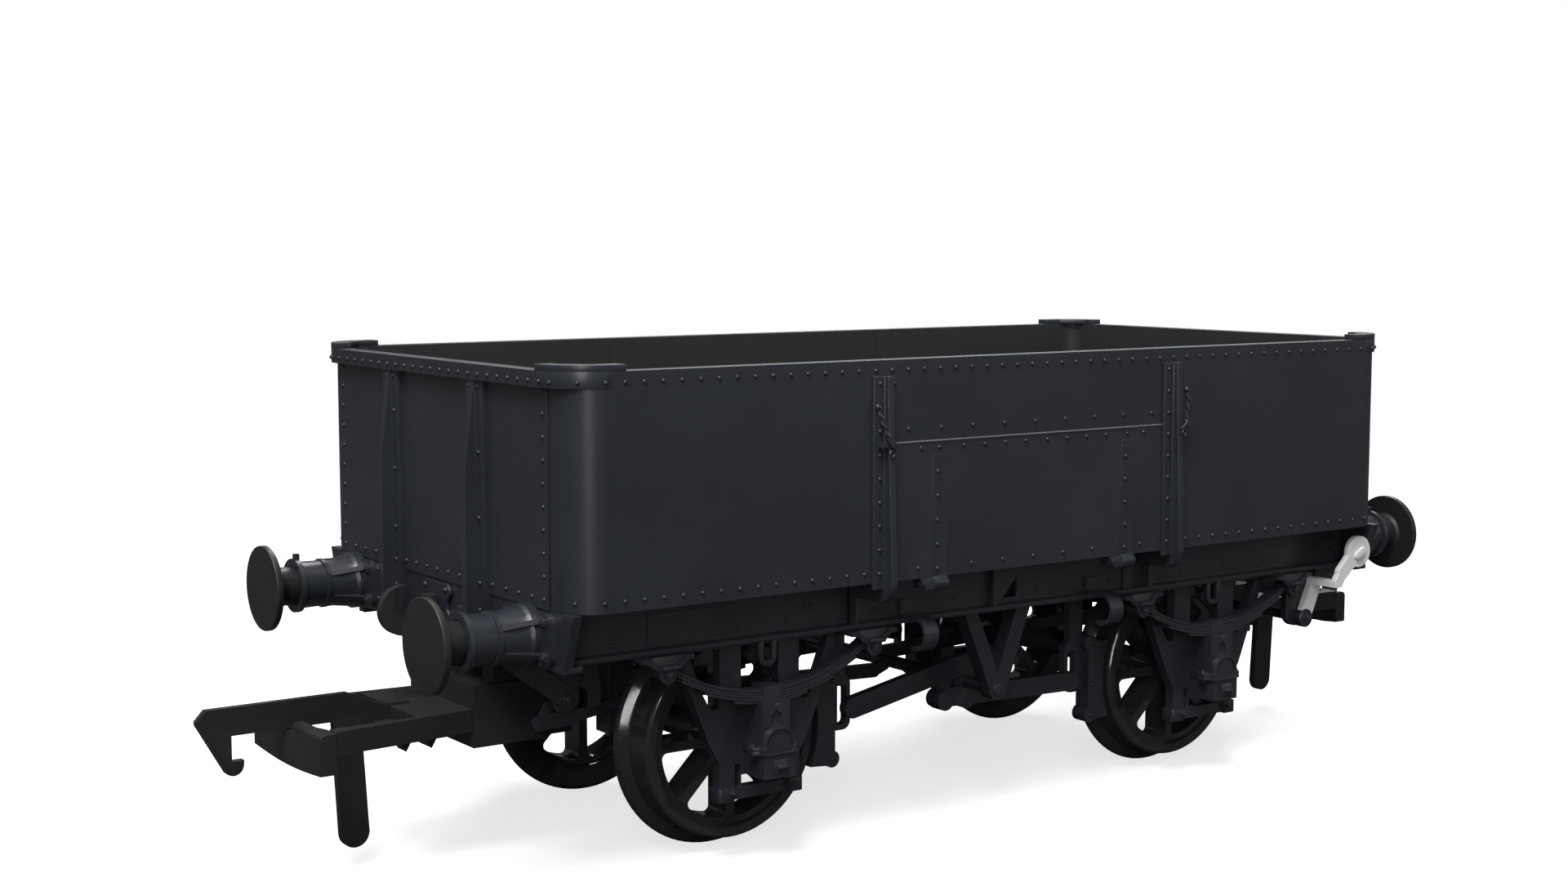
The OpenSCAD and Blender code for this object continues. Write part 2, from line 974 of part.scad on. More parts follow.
// Bar across the coupling's front: deeper in the middle, rounded along its upper front edge
module coupling_bar() {
    bar_top = 9.05;
    bar_back = bar_reach - 1.0;
    edge = 0.35;
    intersection() {
        end_slab(bar_back, bar_reach)
            polygon(concat(
                [[bar_half_width, bar_bottom], [bar_half_width, bar_top]],
                [[-bar_half_width, bar_top], [-bar_half_width, bar_bottom]],
                [for (i = [1 : 7]) [
                    -bar_half_width + i * bar_half_width / 4,
                    bar_bottom - 0.25 * sin(22.5 * i)
                ]]));
        translate([0, bar_half_width, 0])
            near_slab(0, 2 * bar_half_width)
                polygon(concat(
                    [[bar_back - 1, bar_top + 1], [bar_back - 1, 0], [bar_reach, 0]],
                    arc(bar_reach - edge, bar_top - edge, edge, 0, 90, 6),
                    [[bar_reach - edge, bar_top + 0.01]]));
    }
}

// Plan of the opening between the arms, which narrows towards the bar at its sides
module coupling_opening() {
    polygon([
        [shank_front, -arm_inner],
        [bar_reach - 1.1, -arm_inner],
        [bar_reach - 0.72, -2.6],
        [bar_reach - 0.72, 2.6],
        [bar_reach - 1.1, arm_inner],
        [shank_front, arm_inner]
    ]);
}

module coupling_frame() {
    notch_half = 0.75;
    notch_z = 8.52;
    arm_front = bar_reach - 0.4;
    color(black)
        difference() {
            union() {
                // shank and arms
                difference() {
                    translate([0, 0, shank_bottom])
                        linear_extrude(shank_top - shank_bottom)
                            polygon([
                                [headstock_face, -shank_back_half],
                                [arm_front, -bar_half_width],
                                [arm_front, bar_half_width],
                                [headstock_face, shank_back_half]
                            ]);
                    block(shank_step, bar_reach, -arm_inner, arm_inner, step_top, rim_top);
                    block(bar_reach - 0.95, bar_reach, -bar_half_width, bar_half_width,
                        bar_bottom, rim_top);
                }
                block(tongue_back, headstock_face + eps, -tongue_half, tongue_half,
                    shank_bottom, shank_top);
                coupling_bar();
                // two teeth under the shank
                for (x = [33.3, 34.9])
                    translate([0, 1.6, 0])
                        near_slab(0, 3.2)
                            polygon([
                                [x - 0.7, shank_bottom + eps],
                                [x, 6.6],
                                [x + 0.7, shank_bottom + eps]
                            ]);
            }
            linear_extrude(rim_top)
                coupling_opening();
            block(tail_slot_back, shank_front + 1, -tail_slot_half, tail_slot_half, 0, rim_top);
            block(shank_front, bar_reach + 1, -notch_half, notch_half, notch_z, rim_top);
            rod_along_y(pivot_reach, -1.6, 1.6, pivot_z, pivot_pin);
        }
}

module coupling_pin() {
    rod_along_y(pivot_reach, -1.6, 1.6, pivot_z, pivot_pin);
}

module coupling_pins() {
    color(steel)
        both_turns()
            coupling_pin();
}

// Flat hook with a long arm, a nose that points down and back, and a lifting tail
module coupling_hook() {
    drop_back = 36.66;
    drop_front = 38.4;
    drop_radius = (drop_front - drop_back) / 2;
    drop_bottom = 1.11;
    arm_bottom = 8.6;
    arm_top = 10.2;
    drop_mid = (drop_back + drop_front) / 2;
    drop_lean = 0.35;
    color(black)
        difference() {
            translate([0, hook_half_thickness, 0])
                rotate([90, 0, 0])
                    linear_extrude(2 * hook_half_thickness) {
                        polygon(concat(
                            [
                                [pivot_reach - 0.1, pivot_z - 0.55],
                                [drop_back + drop_lean, pivot_z - 0.55],
                                [drop_back, drop_bottom + drop_radius]
                            ],
                            arc(drop_mid, drop_bottom + drop_radius, drop_radius, 180, 360, 16),
                            [
                                [drop_front + drop_lean, arm_bottom],
                                [44.73, arm_bottom],
                                [44.73, 7.17],
                                [44.02, 7.17]
                            ],
                            arc(44.64, 6.93, 0.6, 180, 315, 10),
                            [
                                [46.7, 9.4],
                                [46.7, 9.6],
                                [46.16, arm_top],
                                [37.84, arm_top],
                                [pivot_reach - 0.1, pivot_z + 0.5]
                            ]));
                        translate([pivot_reach, pivot_z])
                            circle(r = 0.55);
                    }
            rod_along_y(pivot_reach, -1, 1, pivot_z, pivot_bore);
        }
}

// ---- Buffers ----

module buffer_at(y) {
    translate([0, y, 0])
        children();
}

module oblong(half, r) {
    for (sx = [-1, 1], sy = [-1, 1])
        translate([sx * (half[0] - r), sy * (half[1] - r)])
            circle(r = r);
    square([2 * half[0], 2 * (half[1] - r)], center = true);
    square([2 * (half[0] - r), 2 * half[1]], center = true);
}

// Barrel outline from flange to mouth: a taper with three raised rings
module barrel_section() {
    polygon([
        [0, headstock_face],
        [1.5, headstock_face],
        [1.5, half_length],
        [1.75, half_length + 0.05],
        [1.75, 32.6],
        [barrel_radius, 32.8],
        [1.42, 34.3],
        [1.52, 34.35],
        [1.52, 34.6],
        [1.42, 34.65],
        [1.45, 36.0],
        [1.67, 36.05],
        [1.67, barrel_front],
        [0, barrel_front]
    ]);
}

module buffer_housing() {
    rib = 0.3;
    difference() {
        union() {
            end_slab(headstock_face, buffer_flange_face)
                translate([0, buffer_z])
                    oblong(buffer_flange_half, 0.6);
            translate([0, 0, buffer_z])
                rotate([0, 90, 0])
                    rotate_extrude()
                        barrel_section();
            for (turn = [0 : 60 : 300])
                translate([0, 0, buffer_z])
                    rotate([turn, 0, 0])
                        rotate([90, 0, 0])
                            translate([0, 0, -rib / 2])
                                linear_extrude(rib)
                                    polygon([
                                        [buffer_flange_face - eps, 0],
                                        [buffer_flange_face - eps, turn % 180 == 0 ? 1.4 : 2.0],
                                        [34.4, 1.5],
                                        [34.4, 0]
                                    ]);
            block(35.95, 36.25, -0.2, 0.2, buffer_z + 1.3, buffer_z + 1.95);
        }
        rod_along_x(headstock_face + 0.2, barrel_front + 1, 0, buffer_z, ram_bore);
        rod_along_x(headstock_face - 1, headstock_face + 1, 0, buffer_z, tail_bore);
    }
}

module buffer_housings() {
    color(paint)
        for (y = [-buffer_y, buffer_y])
            buffer_at(y)
                buffer_housing();
}

module buffer_ram(y) {
    edge = 0.04;
    color(black)
        translate([0, y, buffer_z])
            rotate([0, 90, 0])
                rotate_extrude()
                    polygon([
                        [0, collar_end],
                        [collar_radius, collar_end],
                        [collar_radius, headstock_back],
                        [tail_radius, headstock_back],
                        [tail_radius, ram_inner_end],
                        [ram_radius, ram_inner_end],
                        [ram_radius, head_front - head_thickness - 0.2],
                        [ram_radius + 0.2, head_front - head_thickness],
                        [head_radius - edge, head_front - head_thickness],
                        [head_radius, head_front - head_thickness + edge],
                        [head_radius, head_front - edge],
                        [head_radius - edge, head_front],
                        [0, head_front]
                    ]);
}

// Points of a 6-sided wire wound round the X axis
function coil_ring(t) =
    let (turn = 360 * coil_turns * t, x = coil_start + coil_wire + coil_length * t)
    [for (k = [0 : 5]) let (r = coil_radius + coil_wire * cos(60 * k)) [
        x + coil_wire * sin(60 * k),
        r * cos(turn),
        r * sin(turn)
    ]];

module buffer_spring() {
    rings = 16 * coil_turns;
    points = [for (i = [0 : rings]) each coil_ring(i / rings)];
    side = [for (i = [0 : rings - 1], k = [0 : 5]) [
        6 * i + k,
        6 * i + (k + 1) % 6,
        6 * (i + 1) + (k + 1) % 6,
        6 * (i + 1) + k
    ]];
    first = [for (k = [5 : -1 : 0]) k];
    last = [for (k = [0 : 5]) 6 * rings + k];
    translate([0, 0, buffer_z])
        polyhedron(points = points, faces = concat([first], side, [last]));
}

module buffer_springs() {
    color(steel)
        both_turns()
            for (y = [-buffer_y, buffer_y])
                buffer_at(y)
                    buffer_spring();
}

// ---- Draw gear ----

module draw_plate() {
    plate = 0.25;
    waist = 1.4;
    wide = 1.8;
    top = 16.05;
    low = 13.5;
    middle = 14.8;
    color(paint)
        end_slab(headstock_face, headstock_face + plate)
            polygon([
                [-wide, low],
                [wide, low],
                [wide, middle - 0.7],
                [waist, middle - 0.25],
                [waist, middle + 0.25],
                [wide, middle + 0.7],
                [wide, top - 0.3],
                [wide - 0.3, top],
                [-wide + 0.3, top],
                [-wide, top - 0.3],
                [-wide, middle + 0.7],
                [-waist, middle + 0.25],
                [-waist, middle - 0.25],
                [-wide, middle - 0.7]
            ]);
}

module draw_plates() {
    both_turns()
        draw_plate();
}

module draw_hook() {
    half = 0.3;
    plate_face = headstock_face + 0.25;
    bowl = [34.27, 14.57];
    throat = [33.85, 15.25];
    color(black) {
        block(plate_face, 32.95, -0.5, 0.5, 14.25, 15.33);
        translate([0, half, 0])
            rotate([90, 0, 0])
                linear_extrude(2 * half)
                    difference() {
                        union() {
                            translate(bowl)
                                circle(r = 1.47);
                            polygon([
                                [32.9, 14.25],
                                [34.2, 13.1],
                                [34.2, 15.3],
                                [32.9, 15.3]
                            ]);
                        }
                        translate(throat)
                            circle(r = 0.85);
                        translate([32.95, 15.3])
                            square([0.95, 2]);
                    }
    }
}

// ---- Brake gear ----

module v_hanger() {
    foot_radius_v = 0.68;
    difference() {
        near_slab(v_back, v_front) {
            polygon([
                [-2.8, solebar_bottom],
                [-foot_radius_v, shaft_z],
                [foot_radius_v, shaft_z],
                [2.62, solebar_bottom]
            ]);
            translate([0, shaft_z])
                circle(r = foot_radius_v);
        }
        near_slab(v_back - 1, v_front + 1)
            polygon([[-1.78, solebar_bottom], [0, 9.0], [1.5, solebar_bottom]]);
        near_slab(v_back - 1, v_front + 1)
            polygon([[-1.9, 14], [-1.78, solebar_bottom], [1.5, solebar_bottom], [1.6, 14]]);
        rod_along_y(0, -v_front - 1, -v_back + 1, shaft_z, shaft_radius);
    }
}

module v_hangers() {
    color(paint)
        both_turns()
            v_hanger();
}

module brake_cross_shaft() {
    color(paint)
        rod_along_y(0, -v_front - 0.1, v_front + 0.1, shaft_z, shaft_radius);
}

// Flat bar with round ends between two points of an XZ outline
module bar_plan(x0, z0, x1, z1, w) {
    lean = atan2(z1 - z0, x1 - x0);
    polygon(concat(
        arc(x1, z1, w / 2, lean - 90, lean + 90),
        arc(x0, z0, w / 2, lean + 90, lean + 270)));
}

// Double lever on the cross shaft, with one rod to each brake shoe of this side
module push_rod_set() {
    thickness = 0.6;
    difference() {
        union() {
            near_slab(rod_y - thickness / 2, rod_y + thickness / 2)
                bar_plan(-9.0, 7.35, 0.3, 9.2, 1.3);
            near_slab(rod_y - thickness / 2, rod_y + thickness / 2)
                bar_plan(-2.3, 7.1, 9.0, 6.85, 1.2);
            near_slab(rod_y - thickness / 2, rod_y + thickness / 2)
                bar_plan(-2.3, 7.1, -1.3, 8.9, 0.9);
            near_slab(rod_y - thickness / 2, rod_y + thickness / 2)
                bar_plan(0, 6.9, 0.3, 9.2, 1.4);
            rod_along_y(-2.3, -rod_y - 1.0, -rod_y, 7.1, 0.65);
        }
        rod_along_y(0, -rod_y - 2, -rod_y + 2, shaft_z, shaft_radius);
    }
}

module push_rods() {
    color(paint)
        both_turns()
            push_rod_set();
}

// Curved block that stands off the wheel tread, with a lobe at each end
module shoe_plan() {
    r0 = tread_radius + shoe_gap;
    r1 = r0 + shoe_thickness;
    web = 0.8;
    back_angle = 20.5;
    polygon(concat(
        arc(axle_x, axle_z, r0, 180 - shoe_angle, 180 + shoe_angle),
        arc(axle_x, axle_z, r1, 180 + back_angle, 180 - back_angle)));
    translate([axle_x - r1, shoe_lobes[0]])
        square([web, shoe_lobes[1] - shoe_lobes[0]]);
    for (z = shoe_lobes)
        translate([shoe_lobe_x, z])
            circle(r = shoe_lobe_radius);
}

// Strap that hangs the shoe from the chassis plate, with a safety loop for the push rod
module hanger_plan() {
    strap = [9.25, 10.4];
    loop_low = [8.82, 5.95];
    loop_high = [10.5, 9.4];
    slot_low = [9.12, 6.3];
    slot_high = [9.8, 8.7];
    corner = 0.55;
    inner = corner / 2;
    difference() {
        union() {
            translate([strap[0], slot_high[1]])
                square([strap[1] - strap[0], plate_bottom - slot_high[1]]);
            polygon(concat(
                arc(loop_low[0] + corner, loop_high[1] - corner, corner, 180, 90, 4),
                arc(loop_high[0] - corner, loop_high[1] - corner, corner, 90, 0, 4),
                arc(loop_high[0] - corner, loop_low[1] + corner, corner, 0, -90, 4),
                arc(loop_low[0] + corner, loop_low[1] + corner, corner, -90, -180, 4)));
        }
        polygon(concat(
            arc(slot_low[0] + inner, slot_high[1] - inner, inner, 180, 90, 3),
            [[slot_high[0], slot_high[1]], [slot_high[0], slot_low[1]]],
            arc(slot_low[0] + inner, slot_low[1] + inner, inner, -90, -180, 3)));
    }
}

module brake_shoe(direction) {
    shift = direction > 0 ? 0 : 1;
    mirror([shift, 0, 0]) {
        near_slab(shoe_inner, shoe_outer)
            shoe_plan();
        near_slab(shoe_inner, shoe_inner + hanger_width)
            hanger_plan();
    }
}

module brake_shoes() {
    color(paint)
        both_turns() {
            brake_shoe(1);
            brake_shoe(-1);
        }
}

// Near side lever at the +X end: a strip that rises, steps out and sweeps up to its handle disc
module brake_lever() {
    strip = 1.05;
    disc = [30.2, 14.38];
    disc_radius = 1.08;
    outer_in = lever_far_outer - 0.45;
    color(paint)
        difference() {
            union() {
                near_slab(lever_inner, lever_outer) {
                    bar_plan(lever_x, lever_z, 28.35, 11.95, strip);
                }
                block(27.85, 28.5, -lever_far_outer, -lever_inner, 12.05, 12.5);
                near_slab(outer_in, lever_far_outer) {
                    bar_plan(28.25, 12.45, 28.65, 13.05, 0.75);
                    bar_plan(28.65, 13.05, 29.4, 13.75, 0.95);
                    bar_plan(29.4, 13.75, disc[0], disc[1], strip);
                }
                rod_along_y(disc[0], -lever_far_outer, -outer_in, disc[1], disc_radius);
                near_slab(lever_far_outer, lever_far_outer + 0.15)
                    bar_plan(29.9, 14.12, disc[0] + 0.3, disc[1] + 0.08, 0.5);
            }
            rod_along_y(lever_x, -lever_outer - 1, -lever_inner + 1, lever_z,
                lever_shaft_radius);
        }
}

// Shaft across the wagon with its hanging bracket and diagonal brace on the lever's side
module lever_shaft() {
    bracket_in = 12.45;
    bracket_out = 12.9;
    rod_along_y(lever_x, -lever_outer - 0.15, quadrant_outer + 0.3, lever_z,
        lever_shaft_radius);
    near_slab(bracket_in, bracket_out) {
        translate([lever_x - 1.43, lever_z])
            square([2.0, solebar_bottom - lever_z]);
        translate([lever_x - 0.43, lever_z + 0.45])
            circle(r = 1.0);
    }
    near_slab(11.6, bracket_in)
        bar_plan(lever_x + 0.1, lever_z + 0.1, 30.0, headstock_flange_bottom - 0.4, 0.8);
    block(29.35, 31.5, -bracket_in, -11.6, headstock_flange_bottom - 0.5,
        headstock_flange_bottom);
}

module lever_shafts() {
    color(paint)
        both_turns()
            lever_shaft();
}

// Toothed quadrant on the far side at the +X end, with its crank and brace
module quadrant_plan() {
    tooth = 0.2;
    tooth_edge = 24.95;
    teeth_top = 10.5;
    difference() {
        union() {
            polygon(concat(
                [
                    [28.7, plate_bottom],
                    [28.3, 11.5],
                    [lever_x, 8.8],
                    [26.98, 8.8],
                    [26.98, 9.2],
                    [26.5, 9.2]
                ],
                [
                    [25.6, 8.9],
                    [25.2, 9.0]
                ],
                [for (i = [0 : 14]) [
                    tooth_edge + (i % 2 == 0 ? tooth : 0),
                    9.07 + i * (teeth_top - 9.07) / 14
                ]],
                [
                    [25.2, 12.4],
                    [26.2, plate_bottom]
                ]));
            translate([lever_x, lever_z])
                circle(r = 0.92);
        }
        translate([26.41, 9.75])
            circle(r = 0.5);
        translate([25.91, 8])
            square([1.0, 1.75]);
        translate([lever_x, lever_z])
            circle(r = lever_shaft_radius);
    }
}

module ratchet_quadrant() {
    arm_inner_y = quadrant_outer;
    mirror([0, 1, 0]) {
        near_slab(quadrant_inner, quadrant_outer)
            quadrant_plan();
        // brace from the shaft up to the headstock
        difference() {
            near_slab(arm_inner_y, arm_inner_y + 0.35)
                bar_plan(lever_x, lever_z, 30.8, headstock_flange_bottom - 0.65, 1.25);
            rod_along_y(lever_x, -arm_inner_y - 2, -arm_inner_y + 2, lever_z,
                lever_shaft_radius);
        }
    }
}

module ratchet_quadrants() {
    color(paint)
        both_turns()
            ratchet_quadrant();
}

// Fork and rod that rise inboard from the shaft's crank, and the flat rod along the middle
module pull_rods() {
    fork_y = 5.95;
    blade_y = 2.0;
    mirror([0, 1, 0]) {
        near_slab(fork_y, fork_y + 0.35) {
            bar_plan(28.75, 8.35, 26.6, 8.45, 0.95);
            bar_plan(28.75, 8.35, 28.2, 9.3, 0.6);
            bar_plan(26.6, 8.45, 15.0, 10.2, 0.7);
        }
        near_slab(fork_y, fork_y + 0.35)
            translate([14.6, 9.9])
                square([0.8, plate_bottom - 9.9]);
        near_slab(blade_y, blade_y + 0.5)
            bar_plan(1.8, 7.6, 23.6, 8.37, 0.9);
        near_slab(blade_y, blade_y + 0.5)
            translate([23.2, 8.0])
                square([0.8, plate_bottom - 8.0]);
        near_slab(blade_y, blade_y + 0.5)
            bar_plan(0.95, shaft_z, 1.8, 7.6, 0.8);
    }
}

module brake_pull_rods() {
    color(paint)
        both_turns()
            pull_rods();
}

// ---- Nodes ----

tub_shell();
top_rim();
corner_caps();
end_plate();  // end_plate_a
turned() end_plate();  // end_plate_b
end_stanchions();  // end_stanchions_a
turned() end_stanchions();  // end_stanchions_b
side_stanchions();  // side_stanchions_near
turned() side_stanchions();  // side_stanchions_far
drop_door();  // drop_door_near
turned() drop_door();  // drop_door_far
door_hinges();
door_springs();
solebar();  // solebar_near
turned() solebar();  // solebar_far
headstock();  // headstock_a
turned() headstock();  // headstock_b
chassis_plate();
ballast_weight();
chassis_screws();
w_irons();  // w_irons_near
turned() w_irons();  // w_irons_far
axleboxes();  // axleboxes_near
turned() axleboxes();  // axleboxes_far
leaf_springs();  // leaf_springs_near
turned() leaf_springs();  // leaf_springs_far
spring_shoes();
bearing_cups();
axle();  // axle_a
turned() axle();  // axle_b
near_wheel();  // wheel_a_near
far_wheel();  // wheel_a_far
turned() far_wheel();  // wheel_b_near
turned() near_wheel();  // wheel_b_far
coupling_box();  // coupling_box_a
turned() coupling_box();  // coupling_box_b
coupling_frame();  // coupling_frame_a
turned() coupling_frame();  // coupling_frame_b
coupling_hook();  // coupling_hook_a
turned() coupling_hook();  // coupling_hook_b
coupling_pins();
buffer_housings();  // buffer_housings_a
turned() buffer_housings();  // buffer_housings_b
buffer_ram(-buffer_y);  // buffer_ram_a_near
buffer_ram(buffer_y);  // buffer_ram_a_far
turned() buffer_ram(buffer_y);  // buffer_ram_b_near
turned() buffer_ram(-buffer_y);  // buffer_ram_b_far
buffer_springs();
draw_hook();  // draw_hook_a
turned() draw_hook();  // draw_hook_b
draw_plates();
v_hangers();
brake_cross_shaft();
push_rods();
brake_shoes();
brake_lever();  // brake_lever_near
turned() brake_lever();  // brake_lever_far
lever_shafts();
ratchet_quadrants();
brake_pull_rods();
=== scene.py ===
import json
import math

import bmesh
import bpy
from mathutils import Matrix, Vector


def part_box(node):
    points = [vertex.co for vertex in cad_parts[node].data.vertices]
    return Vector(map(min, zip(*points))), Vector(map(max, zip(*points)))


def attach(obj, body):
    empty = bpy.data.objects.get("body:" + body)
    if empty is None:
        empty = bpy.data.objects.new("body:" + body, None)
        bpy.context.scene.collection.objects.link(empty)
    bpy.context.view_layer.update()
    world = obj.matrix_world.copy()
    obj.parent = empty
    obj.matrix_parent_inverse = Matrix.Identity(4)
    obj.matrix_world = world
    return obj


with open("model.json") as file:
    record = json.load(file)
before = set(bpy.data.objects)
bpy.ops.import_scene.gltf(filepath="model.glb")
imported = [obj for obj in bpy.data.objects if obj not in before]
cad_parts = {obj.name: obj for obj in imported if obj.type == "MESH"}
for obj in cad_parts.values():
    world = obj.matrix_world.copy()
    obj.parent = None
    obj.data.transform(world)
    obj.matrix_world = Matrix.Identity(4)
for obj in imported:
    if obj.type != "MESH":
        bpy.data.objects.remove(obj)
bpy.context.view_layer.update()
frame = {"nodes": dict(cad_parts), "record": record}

MM = 0.001
ROOT = "wagon_body"


# ---- Camera, light and floor ----

CAMERA_PLACE_MM = (-86.387, -113.183, 36.238)
CAMERA_YAW = 34.924
CAMERA_PITCH = 5.522
LIGHT_TARGET = Vector((0, 0, 0.02))


def add_camera():
    """A long lens off the wagon's near left corner, a little above its rim."""
    data = bpy.data.cameras.new("camera")
    data.sensor_width = 36.0
    data.lens = 49.30
    data.clip_start = 0.005
    data.clip_end = 20.0
    camera = bpy.data.objects.new("camera", data)
    bpy.context.collection.objects.link(camera)
    camera.location = Vector(CAMERA_PLACE_MM) * MM
    camera.rotation_euler = (math.radians(90 - CAMERA_PITCH), 0, -math.radians(CAMERA_YAW))
    bpy.context.scene.camera = camera


def add_area_light(name, place, size, power):
    """White soft box that looks at the middle of the wagon."""
    data = bpy.data.lights.new(name, "AREA")
    data.shape = "RECTANGLE"
    data.size, data.size_y = size
    data.energy = power
    light = bpy.data.objects.new(name, data)
    bpy.context.collection.objects.link(light)
    light.location = Vector(place)
    light.rotation_euler = (LIGHT_TARGET - Vector(place)).to_track_quat("-Z", "Y").to_euler()


def add_world():
    """White to the camera, and a softer grey to everything that it lights."""
    world = bpy.data.worlds.new("studio")
    bpy.context.scene.world = world
    world.use_nodes = True
    tree = world.node_tree
    tree.nodes.clear()
    out = tree.nodes.new("ShaderNodeOutputWorld")
    seen = tree.nodes.new("ShaderNodeBackground")
    lit = tree.nodes.new("ShaderNodeBackground")
    mix = tree.nodes.new("ShaderNodeMixShader")
    path = tree.nodes.new("ShaderNodeLightPath")
    seen.inputs["Color"].default_value = (1, 1, 1, 1)
    seen.inputs["Strength"].default_value = 1.0
    lit.inputs["Color"].default_value = (1, 1, 1, 1)
    lit.inputs["Strength"].default_value = 0.18
    tree.links.new(path.outputs["Is Camera Ray"], mix.inputs["Fac"])
    tree.links.new(lit.outputs["Background"], mix.inputs[1])
    tree.links.new(seen.outputs["Background"], mix.inputs[2])
    tree.links.new(mix.outputs["Shader"], out.inputs["Surface"])


def add_floor():
    """Pale floor that the camera sees fade to white, and that sends little light back up."""
    mesh = bpy.data.meshes.new("floor")
    reach = 6.0
    mesh.from_pydata([(-reach, -reach, 0), (reach, -reach, 0), (reach, reach, 0), (-reach, reach, 0)],
                     [], [(0, 1, 2, 3)])
    floor = bpy.data.objects.new("floor", mesh)
    bpy.context.collection.objects.link(floor)
    material = bpy.data.materials.new("floor_white")
    material.use_nodes = True
    tree = material.node_tree
    tree.nodes.clear()
    out = tree.nodes.new("ShaderNodeOutputMaterial")
    glow = tree.nodes.new("ShaderNodeEmission")
    shade = tree.nodes.new("ShaderNodeBsdfDiffuse")
    pale = tree.nodes.new("ShaderNodeAddShader")
    grey = tree.nodes.new("ShaderNodeBsdfDiffuse")
    far = tree.nodes.new("ShaderNodeEmission")
    fade = tree.nodes.new("ShaderNodeMixShader")
    mix = tree.nodes.new("ShaderNodeMixShader")
    path = tree.nodes.new("ShaderNodeLightPath")
    place = tree.nodes.new("ShaderNodeTexCoord")
    reach_of = tree.nodes.new("ShaderNodeVectorMath")
    reach_of.operation = "LENGTH"
    ramp = tree.nodes.new("ShaderNodeMapRange")
    ramp.inputs["From Min"].default_value = 0.07
    ramp.inputs["From Max"].default_value = 0.22
    far.inputs["Strength"].default_value = 1.0
    tree.links.new(place.outputs["Object"], reach_of.inputs[0])
    tree.links.new(reach_of.outputs["Value"], ramp.inputs["Value"])
    tree.links.new(ramp.outputs["Result"], fade.inputs["Fac"])
    tree.links.new(pale.outputs["Shader"], fade.inputs[1])
    tree.links.new(far.outputs["Emission"], fade.inputs[2])
    glow.inputs["Color"].default_value = (1, 1, 1, 1)
    glow.inputs["Strength"].default_value = 0.72
    shade.inputs["Color"].default_value = (0.5, 0.5, 0.5, 1)
    grey.inputs["Color"].default_value = (0.06, 0.06, 0.06, 1)
    tree.links.new(glow.outputs["Emission"], pale.inputs[0])
    tree.links.new(shade.outputs["BSDF"], pale.inputs[1])
    tree.links.new(path.outputs["Is Camera Ray"], mix.inputs["Fac"])
    tree.links.new(grey.outputs["BSDF"], mix.inputs[1])
    tree.links.new(fade.outputs["Shader"], mix.inputs[2])
    tree.links.new(mix.outputs["Shader"], out.inputs["Surface"])
    mesh.materials.append(material)


add_camera()
add_world()
add_floor()
add_area_light("key", (-0.31, -0.27, 0.62), (0.26, 0.26), 4.8)
add_area_light("fill", (0.50, -0.50, 0.22), (0.50, 0.30), 0.22)
add_area_light("top", (0.0, 0.05, 0.70), (0.70, 0.50), 3.0)
add_area_light("strip", (-0.33, -0.42, 0.20), (0.08, 0.40), 0.95)
add_area_light("back", (0.34, 0.34, 0.50), (0.34, 0.34), 3.2)
bpy.context.scene.view_settings.view_transform = "Standard"


# ---- Materials ----

def new_material(name):
    """A material with its node tree and its Principled shader."""
    material = bpy.data.materials.new(name)
    material.use_nodes = True
    tree = material.node_tree
    return material, tree, tree.nodes["Principled BSDF"]


def noise(tree, scale, detail, rough, coords):
    """3-D noise over coords, scale in cells per millimetre."""
    node = tree.nodes.new("ShaderNodeTexNoise")
    node.inputs["Scale"].default_value = scale * 1000
    node.inputs["Detail"].default_value = detail
    node.inputs["Roughness"].default_value = rough
    tree.links.new(coords, node.inputs["Vector"])
    return node.outputs["Fac"]


def map_range(tree, value, lo, hi, to_lo, to_hi):
    node = tree.nodes.new("ShaderNodeMapRange")
    node.inputs["From Min"].default_value = lo
    node.inputs["From Max"].default_value = hi
    node.inputs["To Min"].default_value = to_lo
    node.inputs["To Max"].default_value = to_hi
    tree.links.new(value, node.inputs["Value"])
    return node.outputs["Result"]


def mix_colour(tree, fac, a, b):
    node = tree.nodes.new("ShaderNodeMix")
    node.data_type = "RGBA"
    tree.links.new(fac, node.inputs["Factor"])
    for socket, value in ((node.inputs["A"], a), (node.inputs["B"], b)):
        if isinstance(value, tuple):
            socket.default_value = (*value, 1)
        else:
            tree.links.new(value, socket)
    return node.outputs["Result"]


